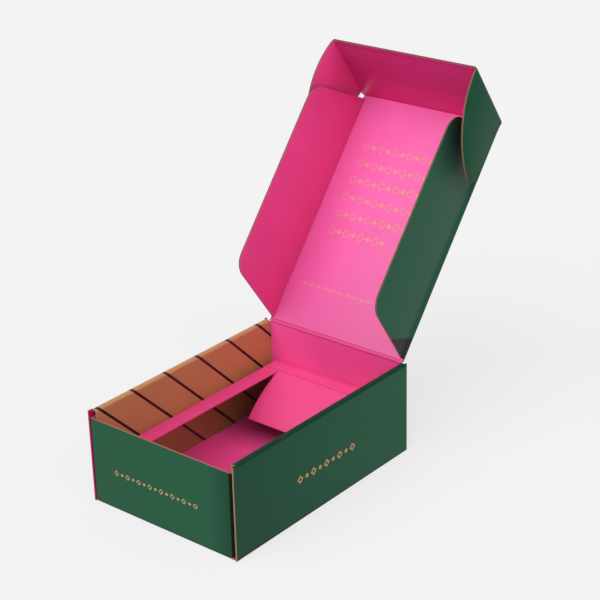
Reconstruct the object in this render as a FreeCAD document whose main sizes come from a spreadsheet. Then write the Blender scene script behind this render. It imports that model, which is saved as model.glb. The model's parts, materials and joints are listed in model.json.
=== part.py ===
import FreeCAD, Part
import os
import re

import Sketcher
from FreeCAD import Placement, Rotation, Vector

# A roll-end mailer box folded from one sheet of thin corrugated board, with a loose
# folded card insert. Origin at the bottom centre of the tray, +Z up, front wall at -Y,
# lid hinged along the top of the back wall at +Y. Millimetres and degrees.

SIZES = [
    ("board", 1.4, "thickness of the corrugated board"),
    ("width", 150, "tray, outside"),
    ("depth", 215, "tray, outside"),
    ("height", 80, "tray, outside, to the rolled tops"),
    ("slip", 0.1, "play between two layers of board"),
    ("ear_slot", 1.45, "slot in each side wall that takes an ear of the lid"),
    ("front_recess", 1.7, "front wall behind the front edges of the side walls"),
    ("front_drop", 6.2, "front wall's top edge, below the rolled tops"),
    ("back_drop", 0.5, "back wall's top edge, below the rolled tops"),
    ("dust_drop", 5, "back dust flaps, below the rolled tops"),
    ("dust_length", 70, "dust flaps, along the side walls"),
    ("dust_lift", 0.5, "dust flaps above the floor"),
    ("corner_round", 3.5, "outside radius of the upright folds"),
    ("roll_round", 2.1, "outside radius of the rolled tops"),
    ("fold_round", 1.2, "outside radius of the bottom folds"),
    ("tab_width", 28, "locking tabs of the rolled panels"),
    ("tab_spread", 46, "locking tabs, from the middle of the side"),
    ("tab_play", 0.3, "play of a locking tab in its slot"),
    ("lid_gap", 0.15, "lid above the rolled tops when it is closed"),
    ("hinge_play", 0.3, "lid panel's edge from the hinge line"),
    ("lid_overlap", 1.1, "lid panel over each rolled top"),
    ("tuck_play", 0.1, "tucked front flap in front of the front wall"),
    ("crease_play", 0.2, "a flap's edge from its fold line"),
    ("flap_play", 0.15, "side flap inside the rolled panel"),
    ("flap_height", 70.5, "side flaps of the lid"),
    ("flap_start", 2, "side flap's root, from the hinge line"),
    ("flap_setback", 2.9, "side flap's root, from the front fold"),
    ("hinge_taper", 21, "side flap's end by the hinge, root to tip"),
    ("front_taper", 20, "side flap's end by the front, root to tip"),
    ("flap_round", 17, "outer corners of the side flaps"),
    ("tuck_height", 71.4, "front flap of the lid"),
    ("ear_radius", 70.5, "ears, quarter discs about the front corners of the lid"),
    ("ear_start", 3.2, "ear's straight edge from the front fold"),
    ("ear_round", 10, "tip of an ear"),
    ("lid_open", 129.3, "lid, from closed"),
    ("left_fold", 87.4, "left side flap, from flat"),
    ("right_fold", 88.5, "right side flap, from flat"),
    ("front_fold", 74, "front flap, from flat"),
    ("left_ear_fold", 85, "left ear, from flat"),
    ("right_ear_fold", 82, "right ear, from flat"),
    ("card", 1.2, "thickness of the insert's card"),
    ("deck_height", 45, "top of the insert"),
    ("deck_half_width", 61.5, "insert's rails, to their outer edges"),
    ("deck_play", 0.3, "insert's legs from the front and back walls"),
    ("wing_reach", 66.5, "insert's back corners, from the middle"),
    ("wing_length", 9, "insert's back corners, along the side"),
    ("window_half_width", 47, "insert's window"),
    ("window_front", 20, "window from the front leg"),
    ("ledge", 17.3, "card between the window and the back leg"),
    ("ramp_length", 50, "sloping flap cut from the window"),
    ("ramp_slope", 35, "sloping flap, below level"),
    ("ramp_play", 0.4, "sloping flap inside the window"),
    ("deck_round", 1.5, "outside radius of the insert's folds"),
]

# Places that follow from the sizes
PLACES = {
    "side": "width / 2",
    "end": "depth / 2",
    "side_inner": "side - board",
    "dust_outer": "side_inner - ear_slot",
    "dust_inner": "dust_outer - board",
    "roll_outer": "dust_inner - slip",
    "roll_inner": "roll_outer - board",
    "corner_inner": "dust_outer - corner_round",
    "front_height": "height - front_drop",
    "back_height": "height - back_drop",
    "dust_height": "height - dust_drop",
    "front_face": "end - front_recess",
    "roll_front": "front_face - corner_round - slip",
    "roll_back": "end - corner_round + board - slip",
    "roll_foot": "board + slip",
    "roll_spring": "height - roll_round",
    "tab_foot": "board - slip - fold_round",
    "hinge_height": "height + lid_gap",
    "flap_fold": "roll_inner - flap_play - board",
    "lid_half_width": "roll_inner + lid_overlap",
    "lid_length": "end + front_face + tuck_play",
    "flap_end": "lid_length - flap_setback",
    "ear_pivot": "dust_outer",
    "tuck_half_width": "ear_pivot - crease_play",
    "leg_front": "front_face - board - deck_play",
    "leg_back": "end - board - deck_play",
    "ramp_fold": "leg_back - ledge",
    "ramp_half_width": "window_half_width - ramp_play",
    "ramp_run": "ramp_length * cos(ramp_slope)",
    "ramp_drop": "ramp_length * sin(ramp_slope)",
    "ramp_lean": "card * sin(ramp_slope)",
    "ramp_depth": "card * cos(ramp_slope)",
}

X_AXIS = Vector(1, 0, 0)
Y_AXIS = Vector(0, 1, 0)
LEFT, RIGHT = -1, 1

doc = FreeCAD.newDocument("mailer_box")
sheet = doc.addObject("Spreadsheet::Sheet", "sheet")
for row, (name, number, note) in enumerate(SIZES, start=1):
    sheet.set(f"A{row}", note)
    sheet.set(f"B{row}", str(number))
    sheet.setAlias(f"B{row}", name)
doc.recompute()
NAMES = {name for name, number, note in SIZES}


def formula(text):
    """A formula of the names above, spelled out in cells of the sheet."""
    def spell(match):
        word = match.group(0)
        if word in PLACES:
            return "(" + formula(PLACES[word]) + ")"
        return "sheet." + word if word in NAMES else word
    return re.sub(r"[a-z_]+", spell, text)


def value(text):
    """The present value of a formula."""
    return float(sheet.evalExpression(formula(text)))


def bind(thing, name, text):
    thing.setExpression(name, formula(text))


def new_body(label):
    body = doc.addObject("PartDesign::Body", label)
    body.Label = label
    return body


def plane(body, role):
    return next(item for item in body.Origin.OriginFeatures if item.Role == role)


def pin(sketch, edge, end, x, y):
    """Holds one end of an edge at the place (x, y) from the sketch's origin."""
    for kind, text in (("DistanceX", x), ("DistanceY", y)):
        index = sketch.addConstraint(Sketcher.Constraint(kind, -1, 1, edge, end, value(text)))
        bind(sketch, f"Constraints[{index}]", text)


def new_sketch(body, name, role, level="0"):
    sketch = body.newObject("Sketcher::SketchObject", name)
    sketch.AttachmentSupport = (plane(body, role), [""])
    sketch.MapMode = "FlatFace"
    if level != "0":
        bind(sketch, "AttachmentOffset.Base.z", level)
    return sketch


def draw(body, name, role, outlines, level="0"):
    """A sketch of closed outlines with straight edges, each corner pinned."""
    sketch = new_sketch(body, name, role, level)
    for corners in outlines:
        spots = [Vector(value(x), value(y), 0) for x, y in corners]
        first = sketch.GeometryCount
        for index, spot in enumerate(spots):
            following = spots[(index + 1) % len(spots)]
            sketch.addGeometry(Part.LineSegment(spot, following), False)
        for index, (x, y) in enumerate(corners):
            edge = first + index
            before = first + (index - 1) % len(corners)
            sketch.addConstraint(Sketcher.Constraint("Coincident", before, 2, edge, 1))
            pin(sketch, edge, 1, x, y)
    return sketch


def pad(body, name, sketch, length, both_ways=False):
    feature = body.newObject("PartDesign::Pad", name)
    feature.Profile = sketch
    feature.SideType = "Symmetric" if both_ways else "One side"
    bind(feature, "Length", length)
    doc.recompute()
    return feature


def pocket(body, name, sketch, length):
    """Cuts half of the length above and half below the sketch."""
    feature = body.newObject("PartDesign::Pocket", name)
    feature.Profile = sketch
    feature.SideType = "Symmetric"
    bind(feature, "Length", length)
    doc.recompute()
    return feature


def round_edges(body, name, radius, spots, along):
    """Rounds the edges that run along one axis through the given places.

    A place gives the other two coordinates of the edge, in the axes' order.
    """
    base = body.Tip
    others = [axis for axis in range(3) if axis != along]
    wanted = [(value(a), value(b)) for a, b in spots]
    chosen = []
    for index, edge in enumerate(base.Shape.Edges, start=1):
        ends = [edge.Vertexes[0].Point, edge.Vertexes[-1].Point]
        if abs(ends[0][along] - ends[1][along]) < edge.Length - 1e-6:
            continue
        for a, b in wanted:
            if all(abs(end[others[0]] - a) + abs(end[others[1]] - b) < 1e-4 for end in ends):
                chosen.append(f"Edge{index}")
    feature = body.newObject("PartDesign::Fillet", name)
    feature.Base = (base, chosen)
    bind(feature, "Radius", radius)
    doc.recompute()
    return feature


def rectangle(low_x, low_y, high_x, high_y):
    return [(low_x, low_y), (high_x, low_y), (high_x, high_y), (low_x, high_y)]


def mirrored(outline):
    return [(f"-({x})", y) for x, y in outline]


def build_walls(body):
    """Floor and the outer layer of the side walls, then the front and back walls."""
    section = [
        ("-side", "0"), ("side", "0"),
        ("side", "roll_spring"), ("side_inner", "roll_spring"),
        ("side_inner", "board"), ("-side_inner", "board"),
        ("-side_inner", "roll_spring"), ("-side", "roll_spring"),
    ]
    pad(body, "outer_walls", draw(body, "outer_section", "XZ_Plane", [section]), "depth", True)
    notch = rectangle("-side_inner", "-end - board", "side_inner", "-front_face")
    pocket(body, "front_notch", draw(body, "notch_outline", "XY_Plane", [notch]), "4 * board")

    front = rectangle("-corner_inner", "-front_face", "corner_inner", "-front_face + board")
    pad(body, "front_wall", draw(body, "front_outline", "XY_Plane", [front]), "front_height")
    back = rectangle("-corner_inner", "end - board", "corner_inner", "end")
    pad(body, "back_wall", draw(body, "back_outline", "XY_Plane", [back]), "back_height")


def build_dust_flaps(body):
    """Corner folds and dust flaps, which stand free of the floor between the layers."""
    for name, face, inward, top in (
        ("front_dust", "-front_face", "+", "front_height"),
        ("back_dust", "end", "-", "dust_height"),
    ):
        tip = f"{face} {inward} dust_length"
        inside = f"{face} {inward} board"
        bend = [
            ("-dust_outer", tip), ("-dust_outer", face), ("dust_outer", face), ("dust_outer", tip),
            ("dust_inner", tip), ("dust_inner", inside), ("-dust_inner", inside), ("-dust_inner", tip),
        ]
        level = "board + dust_lift"
        sketch = draw(body, name + "_outline", "XY_Plane", [bend], level)
        pad(body, name, sketch, f"{top} - ({level})")
        outside = [("dust_outer", face), ("-dust_outer", face)]
        round_edges(body, name + "_fold", "corner_round", outside, 2)
        creases = [("dust_inner", inside), ("-dust_inner", inside)]
        round_edges(body, name + "_crease", "corner_round - board", creases, 2)


def build_rolled_tops(body):
    """Each side wall rolls over the dust flaps and comes down to the floor inside."""
    over = [
        ("side", "roll_spring"), ("side", "height"), ("roll_inner", "height"), ("roll_inner", "roll_foot"),
        ("roll_outer", "roll_foot"), ("roll_outer", "height - board"),
        ("side_inner", "height - board"), ("side_inner", "roll_spring"),
    ]
    sketch = draw(body, "roll_section", "XZ_Plane", [over, mirrored(over)], "-roll_back")
    pad(body, "rolled_tops", sketch, "roll_back + roll_front")
    tops = [("side", "height"), ("-side", "height"), ("roll_inner", "height"), ("-roll_inner", "height")]
    round_edges(body, "roll_folds", "roll_round", tops, 1)
    under = [
        ("side_inner", "height - board"), ("-side_inner", "height - board"),
        ("roll_outer", "height - board"), ("-roll_outer", "height - board"),
    ]
    round_edges(body, "roll_creases", "roll_round - board", under, 1)

    cheeks = [
        rectangle("side_inner", "-end", "side", "-roll_front"),
        rectangle("side_inner", "roll_back", "side", "end"),
    ]
    cheeks += [mirrored(cheek) for cheek in cheeks]
    pad(body, "wall_ends", draw(body, "end_outlines", "XY_Plane", cheeks, "roll_spring"), "roll_round")


def build_tabs(body):
    """Two locking tabs on each rolled panel, in slots of the floor."""
    slots = []
    tabs = []
    for place in ("tab_spread", "-tab_spread"):
        low = f"{place} - tab_width / 2"
        high = f"{place} + tab_width / 2"
        slot = rectangle("roll_inner - tab_play", f"{low} - tab_play",
                         "roll_outer + tab_play", f"{high} + tab_play")
        tab = rectangle("roll_inner", low, "roll_outer", high)
        slots += [slot, mirrored(slot)]
        tabs += [tab, mirrored(tab)]
    pocket(body, "tab_slots", draw(body, "slot_outlines", "XY_Plane", slots), "2 * (board + slip / 2)")
    sketch = draw(body, "tab_outlines", "XY_Plane", tabs, "tab_foot")
    pad(body, "locking_tabs", sketch, "roll_foot + board - tab_foot")


def build_tray():
    body = new_body("tray")
    build_walls(body)
    build_dust_flaps(body)
    build_rolled_tops(body)
    build_tabs(body)
    round_edges(body, "side_folds", "fold_round", [("side", "0"), ("-side", "0")], 1)
    round_edges(body, "end_folds", "fold_round", [("-front_face", "0"), ("end", "0")], 0)


def build_insert():
    """A card deck on a front and a back leg, with a window and a ramp cut from it."""
    body = new_body("insert")
    arch = [
        ("-leg_front", "board"), ("-leg_front", "deck_height"),
        ("leg_back", "deck_height"), ("leg_back", "board"),
        ("leg_back - card", "board"), ("leg_back - card", "deck_height - card"),
        ("-leg_front + card", "deck_height - card"), ("-leg_front + card", "board"),
    ]
    pad(body, "deck", draw(body, "deck_section", "YZ_Plane", [arch]), "2 * deck_half_width", True)
    wings = [rectangle("deck_half_width - card", "leg_back - wing_length", "wing_reach", "leg_back - card")]
    wings.append(mirrored(wings[0]))
    pad(body, "wings", draw(body, "wing_outlines", "XY_Plane", wings, "deck_height - card"), "card")
    window = rectangle("-window_half_width", "window_front - leg_front", "window_half_width", "ramp_fold")
    pocket(body, "window", draw(body, "window_outline", "XY_Plane", [window], "deck_height"), "4 * card")
    slope = [
        ("ramp_fold", "deck_height"),
        ("ramp_fold - ramp_run", "deck_height - ramp_drop"),
        ("ramp_fold - ramp_run + ramp_lean", "deck_height - ramp_drop - ramp_depth"),
        ("ramp_fold + ramp_lean", "deck_height - ramp_depth"),
    ]
    pad(body, "ramp", draw(body, "ramp_section", "YZ_Plane", [slope]), "2 * ramp_half_width", True)
    ends = [("-leg_front", "deck_height"), ("leg_back", "deck_height")]
    round_edges(body, "deck_folds", "deck_round", ends, 0)


def lid_turn(fold="0"):
    """Rotation of a panel that is folded in from the open lid about the X axis."""
    return Rotation(X_AXIS, value(fold) - value("lid_open"))


def hinge_point():
    return Vector(0, value("end"), value("hinge_height"))


def front_point():
    """Middle of the fold between the lid and its front flap."""
    return hinge_point() + lid_turn().multVec(Vector(0, -value("lid_length"), 0))


def flat_panel(label, outline, placement):
    """A panel of board drawn as it lies flat, its inner face down, then put in its place."""
    body = new_body(label)
    pad(body, label + "_board", draw(body, label + "_outline", "XY_Plane", [outline]), "board")
    body.Placement = placement
    return body


def build_lid():
    outline = rectangle("-lid_half_width", "-lid_length", "lid_half_width", "-hinge_play")
    flat_panel("lid", outline, Placement(hinge_point(), lid_turn()))


def build_front_flap():
    outline = rectangle("-tuck_half_width", "-tuck_height", "tuck_half_width", "-crease_play")
    flat_panel("front_flap", outline, Placement(front_point(), lid_turn("front_fold")))


def build_side_flap(label, hand, fold):
    root, tip = "crease_play", "flap_height"
    outline = [
        (root, "-flap_start"), (tip, "-flap_start - hinge_taper"),
        (tip, "-flap_end + front_taper"), (root, "-flap_end"),
    ]
    if hand == LEFT:
        outline = mirrored(outline)
    place = hinge_point() + Vector(hand * value("flap_fold"), 0, 0)
    turn = lid_turn().multiply(Rotation(Y_AXIS, hand * value(fold)))
    body = flat_panel(label, outline, Placement())
    corners = [(outline[1][0], outline[1][1]), (outline[2][0], outline[2][1])]
    round_edges(body, label + "_corners", "flap_round", corners, 2)
    body.Placement = Placement(place, turn)


def build_ear(label, hand):
    """A quarter disc with one rounded tip, folded in from the side of the front flap."""
    body = new_body(label)
    sketch = new_sketch(body, label + "_outline", "XY_Plane")
    sign = "-" if hand == LEFT else ""
    root = sign + "crease_play"
    low = "-sqrt(ear_radius ^ 2 - crease_play ^ 2)"
    tip = f"{sign}sqrt(ear_radius ^ 2 - ear_start ^ 2)"
    corners = [(root, low), (root, "-ear_start"), (tip, "-ear_start")]
    bottom, top, outer = [Vector(value(x), value(y), 0) for x, y in corners]
    middle = Vector(hand, -1, 0).normalize() * value("ear_radius")
    arc_start, arc_stop = (outer, bottom) if hand == LEFT else (bottom, outer)
    arc = Part.Arc(arc_start, middle, arc_stop)
    sketch.addGeometry([Part.LineSegment(bottom, top), Part.LineSegment(top, outer), arc], False)
    outer_end, bottom_end = (1, 2) if hand == LEFT else (2, 1)
    for joined in ((0, 2, 1, 1), (2, outer_end, 1, 2), (2, bottom_end, 0, 1), (2, 3, -1, 1)):
        sketch.addConstraint(Sketcher.Constraint("Coincident", *joined))
    sketch.addConstraint(Sketcher.Constraint("Vertical", 0))
    pin(sketch, 1, 1, root, "-ear_start")
    pin(sketch, 1, 2, tip, "-ear_start")
    pad(body, label + "_board", sketch, "board")
    round_edges(body, label + "_tip", "ear_round", [(tip, "-ear_start")], 2)
    place = front_point() + Vector(hand * value("ear_pivot"), 0, 0)
    turn = lid_turn("front_fold").multiply(Rotation(Y_AXIS, hand * value(label + "_fold")))
    body.Placement = Placement(place, turn)


build_tray()
build_insert()
build_lid()
build_front_flap()
for side_name, side_hand in (("left", LEFT), ("right", RIGHT)):
    build_side_flap(side_name + "_side_flap", side_hand, side_name + "_fold")
    build_ear(side_name + "_ear", side_hand)
doc.recompute()

for thing in doc.Objects:
    if "Invalid" in thing.State or "Error" in thing.State:
        raise RuntimeError(f"{thing.Label} failed: {thing.State}")

os.makedirs("parts", exist_ok=True)
for thing in doc.Objects:
    if thing.TypeId != "PartDesign::Body":
        continue
    shape = thing.Shape
    if shape.isNull() or not shape.isValid() or len(shape.Solids) != 1:
        raise RuntimeError(f"{thing.Label} isn't one valid solid")
    shape.exportStep(f"parts/{thing.Label}.step")
    print(thing.Label, round(shape.Volume), "cubic mm")
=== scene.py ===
# %% [markdown]
# # An open mailer box of printed corrugated board
# The box is one folded sheet of thin corrugated board, printed green outside and pink
# inside, with a loose folded card insert. The imported model gives every panel's place,
# so this script dresses those panels and adds what the plain solids lack: the rounded
# paper folds, the cut edges with their flutes, the print and its wear, and the light and
# shade painted into the print's colours.

# %% Load the frame
import json
import math

import bpy
from mathutils import Matrix, Vector


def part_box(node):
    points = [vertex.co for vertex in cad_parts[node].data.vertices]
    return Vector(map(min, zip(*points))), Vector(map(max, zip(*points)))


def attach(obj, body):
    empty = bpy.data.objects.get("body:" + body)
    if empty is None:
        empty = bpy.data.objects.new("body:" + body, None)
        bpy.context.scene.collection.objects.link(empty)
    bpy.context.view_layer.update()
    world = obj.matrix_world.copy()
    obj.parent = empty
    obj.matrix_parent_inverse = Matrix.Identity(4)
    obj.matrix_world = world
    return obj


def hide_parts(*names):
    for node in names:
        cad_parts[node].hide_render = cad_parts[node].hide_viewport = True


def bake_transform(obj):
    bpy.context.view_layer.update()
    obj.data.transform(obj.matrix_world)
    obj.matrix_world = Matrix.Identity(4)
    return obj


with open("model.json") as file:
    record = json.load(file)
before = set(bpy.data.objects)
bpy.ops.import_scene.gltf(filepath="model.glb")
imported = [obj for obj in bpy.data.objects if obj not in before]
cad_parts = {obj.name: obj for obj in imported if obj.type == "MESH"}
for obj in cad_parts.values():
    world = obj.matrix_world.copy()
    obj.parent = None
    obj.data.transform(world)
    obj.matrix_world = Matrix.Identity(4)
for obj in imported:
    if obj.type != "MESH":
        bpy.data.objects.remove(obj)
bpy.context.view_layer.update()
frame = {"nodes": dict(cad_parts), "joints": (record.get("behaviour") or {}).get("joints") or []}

MM = 0.001
BOARD = 1.4 * MM
X_AXIS, Y_AXIS, Z_AXIS = Vector((1, 0, 0)), Vector((0, 1, 0)), Vector((0, 0, 1))
print("solids:", sorted(frame["nodes"]))

# %% [markdown]
# ## Reading places from the model
# A joint of the model lies on a fold line, so its place and axis say where two panels
# meet. Reading them keeps the dressing on the panels if the lid's angles change.

# %% Fold lines
joints = {joint["name"]: joint for joint in frame["joints"]}


def joint_place(name):
    return Vector(joints[name]["pos_m"])


hinge = joint_place("lid_hinge")
front_fold = joint_place("front_flap_fold")
lid_along = (front_fold - hinge).normalized()
tuck_along = Vector(joints["left_ear_fold"]["axis"])
lid_inner = X_AXIS.cross(lid_along).normalized()
if lid_inner.z < 0:
    lid_inner = -lid_inner
inside_lid = hinge + lid_along * 100 * MM + lid_inner * 30 * MM
inside_front = front_fold - lid_along * 20 * MM + lid_inner * 30 * MM
print("lid leans back along", [round(part, 3) for part in lid_along])

# %% [markdown]
# ## Sockets that can be added and multiplied
# A material is a web of nodes. Wrapping a socket in a small class lets its maths be
# written as ordinary sums, and one method makes every other kind of node.

# %% Wrap the sockets


class Tone:
    """The output socket of a node, which adds Math nodes when it is used in a sum."""

    def __init__(self, tree, socket=None):
        self.tree = tree
        self.socket = socket

    def node(self, kind, settings=None, inputs=None, output=0):
        """Adds any node, with its settings and its inputs, and gives one output."""
        made = self.tree.nodes.new(kind)
        for name, setting in (settings or {}).items():
            setattr(made, name, setting)
        for name, given in (inputs or {}).items():
            if isinstance(given, Tone):
                self.tree.links.new(given.socket, made.inputs[name])
            else:
                made.inputs[name].default_value = given
        return Tone(self.tree, made.outputs[output])

    def maths(self, operation, first, second=0.0):
        return self.node("ShaderNodeMath", {"operation": operation}, {0: first, 1: second})

    def __add__(self, other):
        return self.maths("ADD", self, other)

    def __sub__(self, other):
        return self.maths("SUBTRACT", self, other)

    def __mul__(self, other):
        return self.maths("MULTIPLY", self, other)

    def __truediv__(self, other):
        return self.maths("DIVIDE", self, other)

    def __lt__(self, other):
        return self.maths("LESS_THAN", self, other)

    def __gt__(self, other):
        return self.maths("GREATER_THAN", self, other)

    def __rsub__(self, other):
        return self.maths("SUBTRACT", other, self)

    __radd__ = __add__
    __rmul__ = __mul__

    def wave(self):
        return self.maths("SINE", self)

    def size(self):
        return self.maths("ABSOLUTE", self)

    def part(self):
        return self.maths("FRACT", self)

    def within(self, low, high):
        return self.maths("MINIMUM", self.maths("MAXIMUM", self, low), high)

    def blend(self, low, high):
        """Mixes two colours by this tone."""
        return self.node("ShaderNodeMix", {"data_type": "RGBA"}, {0: self, 6: low, 7: high}, 2)


# %% [markdown]
# ## What every printed board shares
# Litho-printed paper glued over fluting is satin, never quite even in colour, and lets
# the flutes below show as a faint washboard. A colour is written as it looks on screen
# and turned into the linear light values that nodes use.

# %% Colours


def screen(red, green, blue):
    """A colour as seen on a screen, 0 to 255, as linear values with alpha."""
    def linear(level):
        level /= 255
        return level / 12.92 if level <= 0.04045 else ((level + 0.055) / 1.055) ** 2.4
    return (linear(red), linear(green), linear(blue), 1.0)


GREEN = screen(34, 84, 60)
# The next four greens are copies of the one green print with painted light and shade: lighter for the
# tray's side walls and the side flaps, darker for the ears and the rolled tops.
LIT_WALL_GREEN = screen(39, 92, 68)
FLAP_LIT_GREEN = screen(44, 92, 70)
EAR_SHADE_GREEN = screen(28, 81, 57)
ROLL_SHADE_GREEN = screen(13, 60, 39)
# Painted shadow: near-black green for the deep slot at the tray's right front corner.
SLOT_SHADOW_GREEN = screen(8, 26, 18)
SHADED_GREEN = screen(14, 50, 36)
# Painted shadow on the right side flap under the ear.
EAR_SHADOW_GREEN = screen(8, 40, 24)
DARK_PATCH = screen(50, 45, 44)
PINK = screen(234, 72, 146)
# The lid's pink is a lighter copy of the pink print, with painted light and sheen.
LID_PINK = screen(234, 98, 171)
# Painted shade on the lid near the hinge.
HINGE_SHADE_PINK = screen(218, 86, 153)
# The tuck flap's pink is a darker copy of the pink print, painted shade on the downward-facing flap.
TUCK_PINK = screen(190, 45, 111)
# Painted light on the tuck flap near its fold.
FOLD_LIGHT_PINK = screen(224, 53, 133)
# The back wall's and hinge's pink is a darker copy of the pink print, painted shade.
BACK_PINK = screen(218, 68, 136)
# Painted light on the left of the back wall.
BACK_LIGHT_PINK = screen(246, 84, 162)
# Painted shade in the slot at the tray's left front corner.
SLOT_SHADOW_PINK = screen(172, 30, 94)
# Painted shadow on the tray's floor under the insert.
FLOOR_SHADOW_PINK = screen(60, 8, 26)
CARD_PINK = screen(225, 64, 129)
# Painted light toward the back of the insert.
CARD_LIGHT_PINK = screen(236, 74, 142)
# Painted shade along pressed creases: darker lines on the hinge, the tuck flap and the insert.
HINGE_LINE_SHADE = screen(186, 42, 106)
TUCK_LINE_SHADE = screen(154, 30, 84)
CARD_LINE_SHADE = screen(206, 46, 106)
CLAY = screen(194, 136, 90)
# Painted shadow on the clay panel under the insert's deck.
DECK_SHADOW_CLAY = screen(56, 32, 18)
INK = screen(28, 16, 14)
# Darker brown along the walls' bottom fold.
BOTTOM_FOLD_BROWN = screen(52, 30, 26)
GOLD = screen(208, 158, 112)
KRAFT = screen(156, 114, 90)
FLUTE_SHADOW = screen(84, 58, 42)
print("green in linear light:", [round(part, 4) for part in GREEN[:3]])

# %% [markdown]
# ## The base of every material
# Each material starts from the object's own coordinates, so its pattern stays on the
# board when a panel turns. Printed paper and the cut edge are the two kinds of surface.

# %% The base of a material
FLUTE_PITCH = 3.3 * MM
CLOUD_SCALE, FIBRE_SCALE, SWELL_SCALE, GRAIN_SCALE = 22.0, 900.0, 60.0, 700.0
INK_SPREAD = 0.14
GREEN_SHEEN = 0.12
BOARD_WEAR, CARD_WEAR = 0.12 * MM, 0.1 * MM


def new_material(name, roughness, specular=0.5):
    """An empty material with its shader, its tree, and the object's own coordinates."""
    material = bpy.data.materials.new(name)
    material.use_nodes = True
    tone = Tone(material.node_tree)
    shader = material.node_tree.nodes["Principled BSDF"]
    shader.inputs["Roughness"].default_value = roughness
    shader.inputs["Specular IOR Level"].default_value = specular
    place = tone.node("ShaderNodeTexCoord", output="Object")
    return material, shader, tone, place


def feed(shader, name, tone):
    tone.tree.links.new(tone.socket, shader.inputs[name])


def add_bump(shader, height, strength, distance):
    settings = {"Strength": strength, "Distance": distance, "Height": height}
    feed(shader, "Normal", height.node("ShaderNodeBump", None, settings, "Normal"))


def along(place, direction, origin=(0, 0, 0)):
    """How far a point lies from the origin in one direction, in metres."""
    away = place.node("ShaderNodeVectorMath", {"operation": "SUBTRACT"},
                      {0: place, 1: tuple(origin)})
    settings = {"operation": "DOT_PRODUCT"}
    return place.node("ShaderNodeVectorMath", settings, {0: away, 1: tuple(direction)}, "Value")


def noise(place, scale):
    return place.node("ShaderNodeTexNoise", None, {"Vector": place, "Scale": scale, "Detail": 2.0})


def flutes(place, direction):
    """A wave with one crest for each flute."""
    return (along(place, direction) * (math.tau / FLUTE_PITCH)).wave()


def printed(name, colour, flute_axis, marks=(), roughness=0.42, specular=0.5):
    """Printed paper on flutes that repeat along flute_axis.

    Each mark is a function that takes the place and gives its mask and its colour.
    """
    material, shader, _, place = new_material(name, roughness, specular)
    cloud = noise(place, CLOUD_SCALE)
    fibre = noise(place, FIBRE_SCALE)
    dark = tuple(part * (1 - INK_SPREAD) for part in colour[:3]) + (1.0,)
    bright = tuple(part * (1 + INK_SPREAD) for part in colour[:3]) + (1.0,)
    ink = (cloud * 0.6 + fibre * 0.4).blend(dark, bright)
    for mark in marks:
        mask, paint_colour = mark(place)
        ink = mask.blend(ink, paint_colour)
    feed(shader, "Base Color", ink)
    height = flutes(place, flute_axis) * 0.5 + noise(place, SWELL_SCALE) * 1.6 + fibre * 0.35
    add_bump(shader, height, 0.4, 0.06 * MM)
    feed(shader, "Roughness", roughness - 0.06 + cloud * 0.14)
    return material


def cut_edge(name, origin, outward, run):
    """The cut edge of the board: two paper liners with the wavy flute between them."""
    liner, swing, line = 0.2, 0.34, 0.16
    material, shader, _, place = new_material(name, 0.85, 0.2)
    depth = along(place, outward, origin) / BOARD
    flute = 0.5 + swing * flutes(place, run)
    paper = (depth < liner) + (depth > 1 - liner) + ((depth - flute).size() < line)
    mask = paper.within(0.0, 1.0) * (0.75 + noise(place, GRAIN_SCALE) * 0.4)
    feed(shader, "Base Color", mask.blend(FLUTE_SHADOW, KRAFT))
    add_bump(shader, mask, 0.6, 0.2 * MM)
    return material


# %% [markdown]
# ## Marks on the print
# Each mark gives the mask and the colour of one thing on the sheet: a row of gold
# marks, the painted shade of a crease that the paper keeps, a patch of another colour,
# or a colour that comes in slowly, which mostly paints light or shade. Masks are plain
# sums on the place, so a mark needs no picture.

# %% Marks


def gold_row(origin, run, rise, length, pitch, size, stroke):
    """Open diamonds with a solid one between each two, from the origin along run."""
    def mark(place):
        way = along(place, run, origin)
        cell = way / pitch
        reach = ((cell.part() - 0.5) * pitch).size() + along(place, rise, origin).size()
        opened = (reach - (size / 2 - stroke)).size() < stroke / 2
        closed = reach < size / 4
        odd = (cell * 0.5).part() > 0.5
        shape = opened * (1.0 - odd) + closed * odd
        return shape * (way > 0.0) * (way < length), GOLD
    return mark


def crease(direction, origin, width, shade):
    """A pressed line across a direction, drawn as a painted shade of its own."""
    def mark(place):
        return along(place, direction, origin).size() < width / 2, shade
    return mark


def patch(direction, origin, shade):
    """Everything on the near side of a line takes another colour."""
    def mark(place):
        return along(place, direction, origin) < 0.0, shade
    return mark


def fade(direction, start, stop, most, shade, below=1.0, origin=(0, 0, 0)):
    """Another colour that grows along a direction from start to stop, under a height; it mostly paints
    light or shade.
    """
    def mark(place):
        grown = ((along(place, direction, origin) - start) / (stop - start)).within(0.0, 1.0)
        return grown * most * (along(place, Z_AXIS) < below), shade
    return mark


# %% [markdown]
# ## Taking a panel from the model
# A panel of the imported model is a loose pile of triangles. A copy of it is welded, its
# flat faces are made whole, and its faces then get a finish by where they lie and look.

# %% Helpers for pieces


def only(piece):
    """Selects one piece and makes it the active one."""
    bpy.ops.object.select_all(action="DESELECT")
    piece.select_set(True)
    bpy.context.view_layer.objects.active = piece


def welded(node, name):
    """A welded copy of a node of the model, as a new piece."""
    piece = bpy.data.objects.new(name, frame["nodes"][node].data.copy())
    piece.data.name = name
    piece.data.materials.clear()
    bpy.context.collection.objects.link(piece)
    only(piece)
    bpy.ops.mesh.customdata_custom_splitnormals_clear()
    bpy.ops.object.mode_set(mode="EDIT")
    bpy.ops.mesh.select_all(action="SELECT")
    bpy.ops.mesh.remove_doubles(threshold=2e-6)
    bpy.ops.mesh.dissolve_limited(angle_limit=math.radians(0.5))
    bpy.ops.object.mode_set(mode="OBJECT")
    return piece


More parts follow.
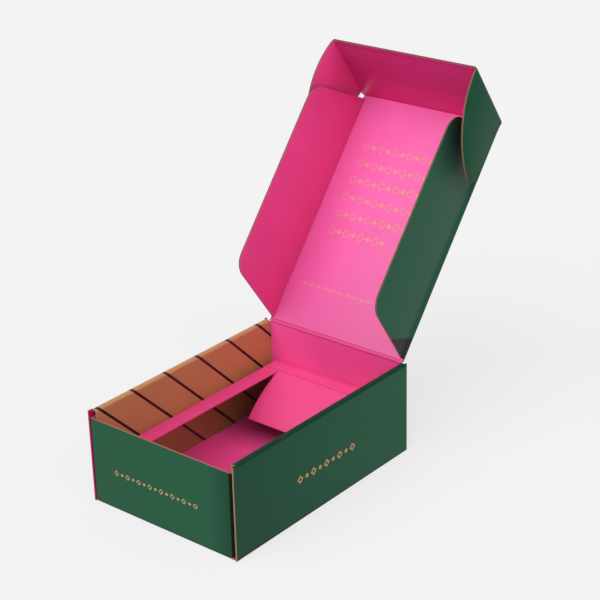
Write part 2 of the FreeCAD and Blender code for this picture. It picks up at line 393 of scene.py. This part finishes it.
def paint(piece, finish, test=None):
    """Gives a finish to the faces for which test(centre, normal) is true."""
    slot = len(piece.data.materials)
    piece.data.materials.append(finish)
    for face in piece.data.polygons:
        if test is None or test(face.center, face.normal):
            face.material_index = slot


def smooth(angle):
    bpy.ops.object.shade_smooth_by_angle(angle=math.radians(angle))


def soften(piece, width):
    """Rounds the sharp edges of a piece and shades it smoothly."""
    only(piece)
    rounding = piece.modifiers.new("rounding", "BEVEL")
    rounding.width, rounding.segments = width, 2
    rounding.limit_method, rounding.angle_limit = "ANGLE", math.radians(40)
    rounding.use_clamp_overlap = False
    bpy.ops.object.modifier_apply(modifier="rounding")
    smooth(35)


def report(piece):
    size = [round(part / MM, 1) for part in piece.dimensions]
    print(piece.name, len(piece.data.polygons), "faces,", size, "mm")


# %% [markdown]
# ## Picking a few points
# A panel is reshaped by moving a few of its points. They are chosen by where they lie,
# in object mode, and then moved in edit mode, as one would do by hand.

# %% Helpers for reshaping


def choose(piece, kind, elements, test):
    """Goes into edit mode with the elements for which test(element) is true selected."""
    only(piece)
    bpy.ops.object.mode_set(mode="EDIT")
    bpy.ops.mesh.select_all(action="DESELECT")
    bpy.ops.mesh.select_mode(type=kind)
    bpy.ops.object.mode_set(mode="OBJECT")
    for element in elements:
        element.select = test(element)
    bpy.ops.object.mode_set(mode="EDIT")


def pick(piece, test):
    """Chooses the points for which test(place) is true."""
    choose(piece, "VERT", piece.data.vertices, lambda vertex: test(vertex.co))


def pick_edges(piece, test):
    """Chooses the edges for which test(start, end) is true."""
    points = piece.data.vertices
    choose(piece, "EDGE", piece.data.edges,
           lambda edge: test(*(points[index].co for index in edge.vertices)))


def shift(piece, test, way):
    """Moves the points for which test(place) is true."""
    pick(piece, test)
    bpy.ops.transform.translate(value=tuple(way))
    bpy.ops.object.mode_set(mode="OBJECT")


# %% [markdown]
# ## The lid's panels
# The lid, its two side flaps, its tuck flap and the ears are all flat board. The side
# that looks into the lid is pink, the other is green, and the rim is bare cut board.
# The largest face of a panel tells which way the panel lies.

# %% Dress the flat panels


def dress_panel(node, inside, flute_axis, outside_colour=GREEN, outside_marks=(),
                inside_colour=PINK, inside_marks=(), outside_sheen=GREEN_SHEEN, inside_sheen=0.5):
    """Finishes a flat panel and gives the direction in which its inner side looks."""
    piece = welded(node, node + "_board")
    face = max(piece.data.polygons, key=lambda each: each.area)
    origin, inner = face.center.copy(), face.normal.copy()
    if inner.dot(inside - origin) <= 0:
        inner = -inner
        origin = origin + inner * BOARD
    paint(piece, cut_edge(node + "_edge", origin, -inner, flute_axis))
    green = printed(node + "_green", outside_colour, flute_axis, outside_marks, specular=outside_sheen)
    pink = printed(node + "_pink", inside_colour, flute_axis, inside_marks, specular=inside_sheen)
    paint(piece, green, lambda centre, normal: normal.dot(inner) < -0.9)
    paint(piece, pink, lambda centre, normal: normal.dot(inner) > 0.9)
    if node == "lid":
        paint(piece, green, lambda centre, normal: abs(normal.x) > 0.9)
    soften(piece, BOARD_WEAR)
    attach(piece, node + "_body")
    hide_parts(node)
    report(piece)
    return inner


# %% [markdown]
# ## Print inside the lid
# Six rows of gold marks cross the lid, with a thin row near the hinge. The lid's pink is a
# lighter copy with painted light and sheen, and a painted shade makes it a little deeper
# near the hinge, where the light comes in less.

# %% Dress the lid
ROW_PITCH = 15.8
ROW_LENGTHS = (98, 83, 98, 91, 98, 61)


def on_lid(x, s):
    """A point on the inside of the lid, x to the right and s from the hinge, in mm."""
    return hinge + X_AXIS * x * MM + lid_along * s * MM


# Painted shade: the lid's pink deepens toward the hinge.
lid_marks = [fade(-lid_along, -120 * MM, 0.0, 1.0, HINGE_SHADE_PINK, origin=hinge)]
for row, length in enumerate(ROW_LENGTHS):
    row_start = on_lid(-50, 168.5 - ROW_PITCH * row)
    lid_marks.append(gold_row(row_start, X_AXIS, lid_along, length * MM, 7.6 * MM, 9 * MM, 0.8 * MM))
lid_marks.append(gold_row(on_lid(-53, 38.5), X_AXIS, lid_along, 104 * MM, 3.8 * MM, 3.6 * MM, 0.7 * MM))
# Painted shade of the crease along the hinge.
lid_marks.append(crease(lid_along, on_lid(0, 0.9), 0.9 * MM, HINGE_LINE_SHADE))
lid_normal = dress_panel("lid", inside_lid, lid_along, inside_colour=LID_PINK, inside_marks=lid_marks)

# %% [markdown]
# ## The tuck flap, the side flaps and the ears
# The tuck flap has pressed lines along its fold and near its free edge, painted as darker
# lines of shade. Its pink is a darker copy with painted shade, and painted light brightens
# it near the fold. A dark patch crosses the right flap's end by the hinge, and a painted
# shadow darkens its other end under the ear. The side flaps take a lighter copy of the
# green and the ears a darker one, as painted light and shade.

# %% Dress the flaps
# Painted light: the tuck flap's pink is lighter near its fold.
tuck_marks = [fade(-tuck_along, -34 * MM, 0.0, 1.0, FOLD_LIGHT_PINK, origin=front_fold)]
# Painted shade of the pressed lines along the tuck flap's fold and near its free edge.
for distance in (2.4, 66.5, 68.5):
    tuck_marks.append(crease(tuck_along, front_fold + tuck_along * distance * MM, 0.6 * MM, TUCK_LINE_SHADE))
tuck_normal = dress_panel("front_flap", inside_front, lid_along, inside_colour=TUCK_PINK,
                          inside_marks=tuck_marks, inside_sheen=0.2)
# Painted shadow: the right side flap darkens toward its end under the ear.
ear_shadow = fade(lid_along, 140 * MM, 190 * MM, 0.85, EAR_SHADOW_GREEN, origin=hinge)
dark_corner = patch(lid_along + lid_inner * 0.36, on_lid(0, 20.5), DARK_PATCH)
flap_marks = {"left": [], "right": [ear_shadow, dark_corner]}
bar_marks = {"left": [], "right": [dark_corner]}
ear_normals = {}
for side in ("left", "right"):
    dress_panel(side + "_side_flap", inside_lid, lid_along, FLAP_LIT_GREEN, flap_marks[side])
    ear_normals[side] = dress_panel(side + "_ear", inside_front, tuck_normal, EAR_SHADE_GREEN,
                                    outside_sheen=0.05)

# %% [markdown]
# ## The folds
# At a fold the paper runs on round the corner, and the solids leave a notch there. Each
# fold is a strip of board spun about its fold line, from one panel to the next.

# %% Helpers for folds
TUCK_IN = 0.35 * MM
RIM = 0.03 * MM
FOLD_STEPS, HINGE_STEPS = 8, 6
EAR_FOLD_START, EAR_FOLD_END = 3.4 * MM, 70 * MM


def strip(name, middle, axes, size):
    """A flat strip across the board, ready to be spun or drawn out."""
    bpy.ops.object.select_all(action="DESELECT")
    bpy.ops.mesh.primitive_plane_add(size=1, location=middle,
                                     rotation=Matrix(axes).transposed().to_euler())
    piece = bpy.context.object
    piece.name = piece.data.name = name
    piece.scale = (size[0], size[1], 1)
    bpy.ops.object.transform_apply(location=True, rotation=True, scale=True)
    bpy.ops.object.mode_set(mode="EDIT")
    bpy.ops.mesh.select_mode(type="VERT")
    bpy.ops.mesh.select_all(action="SELECT")
    return piece


def draw_out(way):
    bpy.ops.mesh.extrude_region_move(TRANSFORM_OT_translate={"value": tuple(way)})


def close_up():
    """Merges what meets and turns the faces of the finished shell outwards."""
    bpy.ops.mesh.select_all(action="SELECT")
    bpy.ops.mesh.remove_doubles(threshold=1e-6)
    bpy.ops.mesh.normals_make_consistent(inside=False)
    bpy.ops.object.mode_set(mode="OBJECT")


def finish_fold(piece, start, end):
    """Shades a fold smoothly, bakes its place into its points and prints its size."""
    smooth(50)
    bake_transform(piece)
    report(piece)


# %% [markdown]
# ## Spinning a fold
# The strip starts square to the first panel, turns about the fold line in eight steps
# and ends square to the second panel. Each end reaches a little way under its panel.

# %% Spin the folds


def fold_strip(name, start, end, inner_a, inner_b, into_a, bodies):
    """The rounded paper between panel a and panel b along a fold line."""
    out_a, out_b = -inner_a, -inner_b
    axis = (end - start).normalized()
    angle = out_a.angle(out_b)
    if (Matrix.Rotation(angle, 3, axis) @ out_a - out_b).length > 0.01:
        axis = -axis
    into_b = -(Matrix.Rotation(angle, 3, axis) @ into_a)
    middle = (start + end) / 2 + out_a * BOARD / 2 + into_a * TUCK_IN
    size = ((end - start).length, BOARD - 2 * RIM)
    piece = strip(name, middle, (axis, out_a, axis.cross(out_a)), size)
    draw_out(-into_a * TUCK_IN)
    bpy.ops.mesh.spin(steps=FOLD_STEPS, angle=-angle, center=tuple(start), axis=tuple(axis))
    draw_out(into_b * TUCK_IN)
    close_up()
    inward = (inner_a + inner_b).normalized()
    paint(piece, printed(name + "_green", GREEN, axis, specular=GREEN_SHEEN))
    paint(piece, printed(name + "_pink", PINK, axis), lambda centre, normal: normal.dot(inward) > 0.3)
    finish_fold(piece, start + out_a * BOARD, start + out_b * BOARD)


half_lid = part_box("lid")[1].x
fold_strip("front_fold", front_fold - X_AXIS * half_lid, front_fold + X_AXIS * half_lid,
           lid_normal, tuck_normal, -lid_along, ("lid_body", "front_flap_body"))
for side, hand in (("left", -1), ("right", 1)):
    pivot = joint_place(side + "_ear_fold")
    fold_strip(side + "_ear_fold", pivot + tuck_along * EAR_FOLD_START, pivot + tuck_along * EAR_FOLD_END,
               tuck_normal, ear_normals[side], X_AXIS * -hand,
               ("front_flap_body", side + "_ear_body"))

# %% [markdown]
# ## The hinge of the lid
# The lid is hinged by the board itself. A short crushed strip rolls back from the top of
# the back wall to the lid. The centre of the roll is the one point that stays where it is
# when the strip turns from the wall to the lid.

# %% Roll the hinge
HINGE_HALF = 70.3 * MM
WALL_TOP = 79.5 * MM
BACK_INNER, BACK_FACE = 106.1 * MM, 107.5 * MM

lean = math.atan2(lid_along.y, lid_along.z)
old = Vector((0, BACK_INNER, WALL_TOP))
new = hinge + lid_along * 0.3 * MM
turn = Matrix.Rotation(-lean, 3, "X")
gap = new - turn @ old
still = Matrix(((1 - turn[1][1], -turn[1][2]), (-turn[2][1], 1 - turn[2][2]))).inverted() @ gap.yz
roll_centre = Vector((0, *still))
hinge_strip = strip("hinge_strip", Vector((0, (BACK_INNER + BACK_FACE) / 2, WALL_TOP - TUCK_IN)),
                    (X_AXIS, Y_AXIS, Z_AXIS), (2 * HINGE_HALF, BOARD - 2 * RIM))
draw_out(Z_AXIS * TUCK_IN)
bpy.ops.mesh.spin(steps=HINGE_STEPS, angle=lean, center=tuple(roll_centre), axis=tuple(X_AXIS))
draw_out(lid_along * TUCK_IN)
close_up()
toward_inside = Vector((0, -1, 0.4))
paint(hinge_strip, printed("hinge_green", GREEN, X_AXIS, specular=GREEN_SHEEN))
# The hinge strip takes the back wall's darker copy of the pink, painted shade.
paint(hinge_strip, printed("hinge_pink", BACK_PINK, X_AXIS),
      lambda centre, normal: normal.dot(toward_inside) > 0.3)
paint(hinge_strip, cut_edge("hinge_edge", (0, BACK_INNER, 0), Y_AXIS, Z_AXIS),
      lambda centre, normal: abs(normal.x) > 0.9)
finish_fold(hinge_strip, old, new)

# %% [markdown]
# ## The corners along the sides of the lid
# The side flaps fold down just inside the lid's edge, so the outside of that fold is a
# long rounded corner. A slim bar with one edge bevelled away fills it.

# %% Fill the side corners
FLAP_FACE = 69.1 * MM
DROP = 1.25 * MM
BAR_START, BAR_END = 2.1 * MM, 210.2 * MM
BAR_BEVEL = 1.1 * MM
bar_width = half_lid - FLAP_FACE


def outer_edge(start, end):
    """True for the long edge of a bar that lies outermost and furthest into the lid."""
    spot = (start + end) / 2 - hinge
    return (abs(spot.x) > FLAP_FACE + bar_width / 2 and spot.dot(lid_inner) > DROP / 2
            and (start - end).length > 100 * MM)


for side, hand in (("left", -1), ("right", 1)):
    outward = X_AXIS * hand
    middle = (hinge + outward * (FLAP_FACE + bar_width / 2 - RIM) + lid_inner * (DROP / 2 - RIM)
              + lid_along * BAR_START)
    bar = strip(side + "_side_fold", middle, (outward, lid_inner, outward.cross(lid_inner)),
                (bar_width, DROP))
    draw_out(lid_along * (BAR_END - BAR_START))
    bpy.ops.object.mode_set(mode="OBJECT")
    pick_edges(bar, outer_edge)
    bpy.ops.mesh.bevel(offset=BAR_BEVEL, offset_type="OFFSET", segments=1)
    close_up()
    paint(bar, printed(side + "_side_fold_green", GREEN, lid_along, bar_marks[side],
                       specular=GREEN_SHEEN))
    smooth(50)
    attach(bar, "lid_body")
    report(bar)

# %% [markdown]
# ## The tray's shape
# The tray is one folded sheet. A real one isn't as exact as the solid: the dust flaps
# stand almost up to the rolled tops, which closes the back corners, the left front
# corner is folded sharper and nearly fills its slot, the side walls' front ends are a
# little shorter, and their back top corners are worn round.

# %% Reshape the tray
FRONT_FACE = -105.8 * MM
FRONT_END = -107.5 * MM
CORNER_FACE = 72.15 * MM
DUST_TOP = 75 * MM
TRAY_TOP = 80 * MM
SLACK = 0.05 * MM
OUTER_BEND, INNER_BEND = 3.5 * MM, 2.1 * MM
SHARPER = 0.4
DUST_LIFT, CORNER_OUT, END_CUT, WORN_CORNER = 3.2 * MM, 1.2 * MM, 1.3 * MM, 2 * MM

tray = welded("tray", "tray_board")
shift(tray, lambda place: abs(place.z - DUST_TOP) < SLACK and place.y > 0, Z_AXIS * DUST_LIFT)
left_corner = Vector((-CORNER_FACE, FRONT_FACE, 0))
inner_corner = left_corner + Vector((BOARD, BOARD, 0))
for corner, radius in ((left_corner, OUTER_BEND), (inner_corner, INNER_BEND)):
    bend = corner + Vector((radius, radius, 0))
    pick(tray, lambda place: abs((place.xy - bend.xy).length - radius) < 0.03 * MM
         and place.x < bend.x + 0.01 * MM and place.y < bend.y + 0.01 * MM)
    bpy.ops.transform.resize(value=(SHARPER, SHARPER, 1), center_override=tuple(corner))
    bpy.ops.object.mode_set(mode="OBJECT")
shift(tray, lambda place: -72.3 * MM < place.x < -69.5 * MM and place.y < -102.6 * MM,
      X_AXIS * -CORNER_OUT)
shift(tray, lambda place: place.y < FRONT_END + 2 * SLACK, Y_AXIS * END_CUT)
pick(tray, lambda place: place.y > BACK_FACE - 2 * SLACK and place.z > TRAY_TOP - 2 * SLACK
     and abs(place.x) > 72.5 * MM)
bpy.ops.mesh.select_mode(use_extend=False, use_expand=False, type="EDGE")
bpy.ops.mesh.bevel(offset=WORN_CORNER, offset_type="OFFSET", segments=4, profile=0.5)
bpy.ops.object.mode_set(mode="OBJECT")
report(tray)

# %% [markdown]
# ## The tray's print
# The outside is green, with a row of gold marks on the front and on the right side. The
# inside is pink, but for the rolled side panels: they are clay-coloured, with plain
# slanted lines. Shade is painted where little light comes: under the insert's deck, on
# the floor under the insert and toward the front right corner. Light is painted on the
# left of the back wall.

# %% Marks of the tray
side_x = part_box("tray")[1].x
front_row = gold_row((-51 * MM, FRONT_FACE, 33.3 * MM), X_AXIS, Z_AXIS, 89 * MM,
                     5.9 * MM, 5.6 * MM, 0.8 * MM)
side_row = gold_row((side_x, -35 * MM, 35.8 * MM), Y_AXIS, Z_AXIS, 73 * MM,
                    8.1 * MM, 8.8 * MM, 1.7 * MM)
# Darker along the bottom 2 mm of the walls.
dark_bottom_fold = fade(-Z_AXIS, -1.9 * MM, -1.1 * MM, 0.95, BOTTOM_FOLD_BROWN)
# Painted shade: the side walls darken toward the front, and the front wall toward its right corner.
dim_side = fade(-Y_AXIS, -80 * MM, 107 * MM, 0.46, SHADED_GREEN)
dim_corner = fade(X_AXIS, 50 * MM, 69 * MM, 0.6, SHADED_GREEN)
# Painted shadow on the tray's floor, darker toward the back, under the insert's ramp.
floor_shadow = fade(Y_AXIS, 25 * MM, 60 * MM, 0.65, FLOOR_SHADOW_PINK, below=2 * MM)
# Painted shadow: the clay panel darkens under the insert's deck, more toward the back.
deck_shadow = fade(Y_AXIS, -120 * MM, 90 * MM, 0.8, DECK_SHADOW_CLAY, below=39 * MM)
# Painted light: the back wall is lighter toward its left.
back_wall_light = fade(-X_AXIS, 10 * MM, 68 * MM, 0.85, BACK_LIGHT_PINK)
# Painted shade of the crease at the back wall's top.
top_crease = crease(Z_AXIS, (0, 0, 78.6 * MM), 0.9 * MM, HINGE_LINE_SHADE)


def nick(x):
    """A small dent in the fold under the front wall."""
    def mark(place):
        return (along(place, X_AXIS) - x).size() + along(place, Z_AXIS).size() < 1.1 * MM, INK
    return mark


def slanted_lines(place):
    """Plain slanted lines, evenly spaced."""
    line = along(place, (0, 0.71, 0.71)) / (27 * MM)
    return (line.part() - 0.5).size() < 0.042, INK


print("the right side wall's face is at x =", round(side_x / MM, 2), "mm")


# %% [markdown]
# ## The tray's finishes
# Each side of the sheet that looks different in the light has a finish of its own, made
# from the same printed paper, with light and shade painted into some of their colours.

# %% Finishes of the tray
nicks = [nick(-37.0 * MM), nick(-8.8 * MM)]
edge = cut_edge("tray_edge_y", (0, 0, 0), Y_AXIS, X_AXIS)
# The side walls' lighter copy of the green, with painted shade toward the front.
green = printed("tray_green", LIT_WALL_GREEN, Y_AXIS, [dim_side, side_row, dark_bottom_fold], specular=0.08)
# Painted shadow in the slot at the right front corner.
slot_shadow_green = printed("tray_slot_green", SLOT_SHADOW_GREEN, Z_AXIS, specular=0.05)
plain_green = printed("tray_plain_green", GREEN, Y_AXIS, specular=GREEN_SHEEN)
# Painted shade: a darker copy of the green for the rolled tops.
roll_shade_green = printed("tray_roll_green", ROLL_SHADE_GREEN, Y_AXIS, specular=GREEN_SHEEN)
front_green = printed("tray_front_green", GREEN, Z_AXIS, [dim_corner, front_row, dark_bottom_fold, *nicks],
                      specular=0.08)
back_green = printed("tray_back_green", GREEN, Z_AXIS, specular=GREEN_SHEEN)
# Painted shade in the slot at the left front corner.
slot_shadow_pink = printed("tray_slot_pink", SLOT_SHADOW_PINK, Z_AXIS, specular=0.1)
pink = printed("tray_pink", PINK, Y_AXIS, [floor_shadow])
back_pink = printed("tray_back_pink", BACK_PINK, Z_AXIS, [back_wall_light, top_crease])
clay = printed("tray_clay", CLAY, Y_AXIS, [deck_shadow, slanted_lines])
print("finishes of the tray:", len({edge, green, slot_shadow_green, plain_green, roll_shade_green, front_green,
                                    back_green, slot_shadow_pink, pink, back_pink, clay}))

# %% [markdown]
# ## Which face gets which finish
# A face is green where it is the sheet's outer side and pink where it is the inner side,
# so each finish is given by where a face lies and which way it looks. A later rule wins
# over an earlier one.

# %% Paint the tray
ROLL_FACE = 69.25 * MM
WALL_INNER = 73.6 * MM
ROLL_SPRING = 77.9 * MM
roll_low, roll_high = ROLL_FACE - 5 * SLACK, ROLL_FACE + 9 * SLACK
front_bend, back_bend = FRONT_FACE + OUTER_BEND + 2 * SLACK, BACK_FACE - OUTER_BEND - 2 * SLACK
wall_gap, spring = WALL_INNER - 2 * SLACK, ROLL_SPRING - 2 * SLACK


def within_corners(at):
    return abs(at.x) < CORNER_FACE + SLACK


def on_front_wall(at, way):
    """The front wall's outer side with its rounded corners, without what lies behind it."""
    behind = abs(at.x) < roll_low and at.y > FRONT_FACE + 0.5 * MM and at.z > 1.2 * MM
    return (within_corners(at) and at.y < front_bend and way.y < -0.05
            and at.z > -2 * SLACK and not behind)


def on_side_wall(at, way):
    return (abs(at.x) > CORNER_FACE - SLACK and way.x * at.x > 0
            and abs(way.y) < 0.5 and abs(way.x) > 0.05)


rules = (
    (pink, None),
    (edge, lambda at, way: abs(way.y) > 0.9 and abs(at.x) > ROLL_FACE - SLACK),
    (edge, lambda at, way: way.z > 0.9 and 70 * MM < at.z < 79.8 * MM),
    (front_green, on_front_wall),
    # Painted shadow on the rounded corner inside the right front slot.
    (slot_shadow_green, lambda at, way: at.x > roll_high and within_corners(at) and at.y < front_bend
     and way.x > 0.28),
    (back_green, lambda at, way: at.y > back_bend and way.y > 0.05 and within_corners(at)),
    (green, on_side_wall),
    (green, lambda at, way: way.z < -0.3 and at.z < 1.3 * MM),
    (plain_green, lambda at, way: at.x < -CORNER_FACE + SLACK and way.x < -0.05),
    (roll_shade_green, lambda at, way: at.x > roll_high - 2 * SLACK and at.z > spring and way.z > 0.1),
    (back_pink, lambda at, way: at.y > 105 * MM and way.y < -0.9),
    (clay, lambda at, way: at.x < -roll_low and at.z > spring and way.z > 0.3),
    (roll_shade_green, lambda at, way: abs(at.x) > wall_gap and at.y > 105.2 * MM and at.z > spring),
    # Painted shade on the pink inside the left front slot.
    (slot_shadow_pink, lambda at, way: at.x < -wall_gap and way.y < -0.9),
    (slot_shadow_pink, lambda at, way: at.x < -wall_gap and way.x > 0.9),
    (clay, lambda at, way: roll_low < abs(at.x) < roll_high and way.x * at.x < 0),
)
for finish, rule in rules:
    paint(tray, finish, rule)
only(tray)
smooth(35)
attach(tray, "tray_body")
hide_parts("tray")
report(tray)

# %% [markdown]
# ## The insert
# The insert is thinner, solid card, pink all over. Its sloping flap was cut on three
# sides and pressed down, and such a flap bows up in the middle. Moving its middle with
# proportional editing bends it in a smooth arc. The insert's back corners reach only a
# little past its rails.

# %% Shape the insert
RAMP_LENGTH = 50 * MM
RAMP_SLOPE = math.radians(35)
RAMP_FOLD = Vector((0, 88.5, 45)) * MM
RAMP_HALF = 46.6 * MM
BOW = 3.3 * MM
WING_REACH, WING_START, WING_INNER = 66.5 * MM, 96.8 * MM, 61 * MM
WING_NARROWED, WING_SHORTENED = 3.5 * MM, 4.5 * MM

insert = welded("insert", "insert_card")
pick_edges(insert, lambda start, end: abs((start - end).length - RAMP_LENGTH) < 0.5 * MM)
bpy.ops.mesh.subdivide(number_cuts=9)
bpy.ops.object.mode_set(mode="OBJECT")
down_ramp = Vector((0, -math.cos(RAMP_SLOPE), -math.sin(RAMP_SLOPE)))
off_ramp = Vector((0, down_ramp.z, -down_ramp.y))
ramp_middle = RAMP_FOLD + down_ramp * RAMP_LENGTH / 2
pick(insert, lambda place: (place.yz - ramp_middle.yz).length < BOARD + 2 * SLACK
     and abs(place.x) < RAMP_HALF + 2 * SLACK)
bpy.ops.transform.translate(value=tuple(off_ramp * BOW), use_proportional_edit=True,
                            proportional_edit_falloff="INVERSE_SQUARE",
                            proportional_size=RAMP_LENGTH / 2, use_proportional_connected=True)
bpy.ops.object.mode_set(mode="OBJECT")
for hand in (-1, 1):
    shift(insert, lambda place: place.x * hand > WING_REACH - 2 * SLACK, X_AXIS * -hand * WING_NARROWED)
shift(insert, lambda place: abs(place.y - WING_START) < SLACK and abs(place.x) > WING_INNER,
      Y_AXIS * WING_SHORTENED)
report(insert)

# %% [markdown]
# ## The insert's print
# Light is painted on the card, brighter toward the back, and two creases cross it where
# it was folded, painted as darker lines of shade.

# %% Dress the insert
# Painted light: the card is lighter toward the back.
card_marks = [fade(Y_AXIS, 70 * MM, 90 * MM, 1.0, CARD_LIGHT_PINK)]
# Painted shade of the two folded creases.
for y in (88.8, 102.5):
    card_marks.append(crease(Y_AXIS, (0, y * MM, 0), 0.9 * MM, CARD_LINE_SHADE))
paint(insert, printed("insert_card", CARD_PINK, Y_AXIS, card_marks, roughness=0.5))
soften(insert, CARD_WEAR)
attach(insert, "tray_body")
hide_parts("insert")
report(insert)

# %% [markdown]
# ## Floor, light and camera
# A pale sheet under the box and very soft light, as in a product studio. The camera sees
# the sheet as mostly glowing white, which keeps it pale, and the rest as lit paper,
# which keeps the box's soft shadow.

# %% Floor
GLOW = 0.7
bpy.ops.object.select_all(action="DESELECT")
bpy.ops.mesh.primitive_plane_add(size=30)
floor = bpy.context.object
floor.name = "floor"
sheet, sheet_shader, sheet_tone, _ = new_material("floor_sheet", 0.9, 0.1)
sheet_shader.inputs["Base Color"].default_value = (0.65, 0.65, 0.65, 1)
glow = sheet_tone.node("ShaderNodeEmission", None, {"Color": (1, 1, 1, 1), "Strength": 1.0})
path = sheet.node_tree.nodes.new("ShaderNodeLightPath")
seen = Tone(sheet.node_tree, path.outputs["Is Camera Ray"])
for ray in ("Is Glossy Ray", "Is Transmission Ray"):
    seen = seen + Tone(sheet.node_tree, path.outputs[ray])
paper = Tone(sheet.node_tree, sheet_shader.outputs[0])
surface = seen.node("ShaderNodeMixShader", None, {0: seen * GLOW, 1: paper, 2: glow})
sheet.node_tree.links.new(surface.socket, sheet.node_tree.nodes["Material Output"].inputs["Surface"])
floor.data.materials.append(sheet)
print("floor:", [round(side, 1) for side in floor.dimensions], "m")

# %% [markdown]
# ## Light
# Two wide lamps and a plain bright sky give soft shadows. The sky that the camera sees
# is a pale backdrop, and the sky that lights the box is dimmer.

# %% Light


def sun(name, toward, strength, spread):
    """A distant lamp that shines from the given direction."""
    bpy.ops.object.light_add(type="SUN", location=(0, 0, 2))
    lamp = bpy.context.object
    lamp.name = name
    lamp.rotation_euler = Vector(toward).to_track_quat("Z", "Y").to_euler()
    lamp.data.energy, lamp.data.angle = strength, math.radians(spread)
    print(name, "lamp:", strength, "W/m2,", spread, "degrees wide")


sun("key", (-0.05, -0.75, 0.66), 1.95, 60)
sun("fill", (0.6, -0.3, 0.7), 0.65, 55)
world = bpy.data.worlds.new("studio")
bpy.context.scene.world = world
world.use_nodes = True
sky = Tone(world.node_tree)
light = sky.node("ShaderNodeBackground", None, {"Color": (1, 1, 1, 1), "Strength": 0.46})
backdrop = sky.node("ShaderNodeBackground", None, {"Color": screen(244, 244, 244), "Strength": 1.0})
in_view = sky.node("ShaderNodeLightPath", output="Is Camera Ray")
studio = sky.node("ShaderNodeMixShader", None, {0: in_view, 1: light, 2: backdrop})
world.node_tree.links.new(studio.socket, world.node_tree.nodes["World Output"].inputs["Surface"])

# %% [markdown]
# ## Camera
# The camera looks at the box from the right and from above. Its place is written along
# its own three directions: back from the box, to the right and up.

# %% Camera
IMAGE_SIZE = 600
FOCAL_PIXELS = 1721.111
SENSOR = 36
BACK_BY, RIGHT_BY, UP_BY = 1395.111, 37.218, 141.586
azimuth, elevation, roll = (math.radians(angle) for angle in (39.939, 24.078, -1.506))
back = Vector((math.sin(azimuth) * math.cos(elevation),
               -math.cos(azimuth) * math.cos(elevation), math.sin(elevation)))
level = (-back).cross(Z_AXIS).normalized()
upright = level.cross(-back)
right = level * math.cos(roll) + upright * math.sin(roll)
up = upright * math.cos(roll) - level * math.sin(roll)
bpy.ops.object.camera_add(location=(back * BACK_BY + right * RIGHT_BY + up * UP_BY) * MM)
camera = bpy.context.object
camera.rotation_euler = Matrix((right, up, back)).transposed().to_euler()
camera.data.sensor_width, camera.data.lens = SENSOR, FOCAL_PIXELS * SENSOR / IMAGE_SIZE
bpy.context.scene.camera = camera
bpy.context.scene.view_settings.view_transform = "Standard"
print("camera at", [round(part, 3) for part in camera.location])
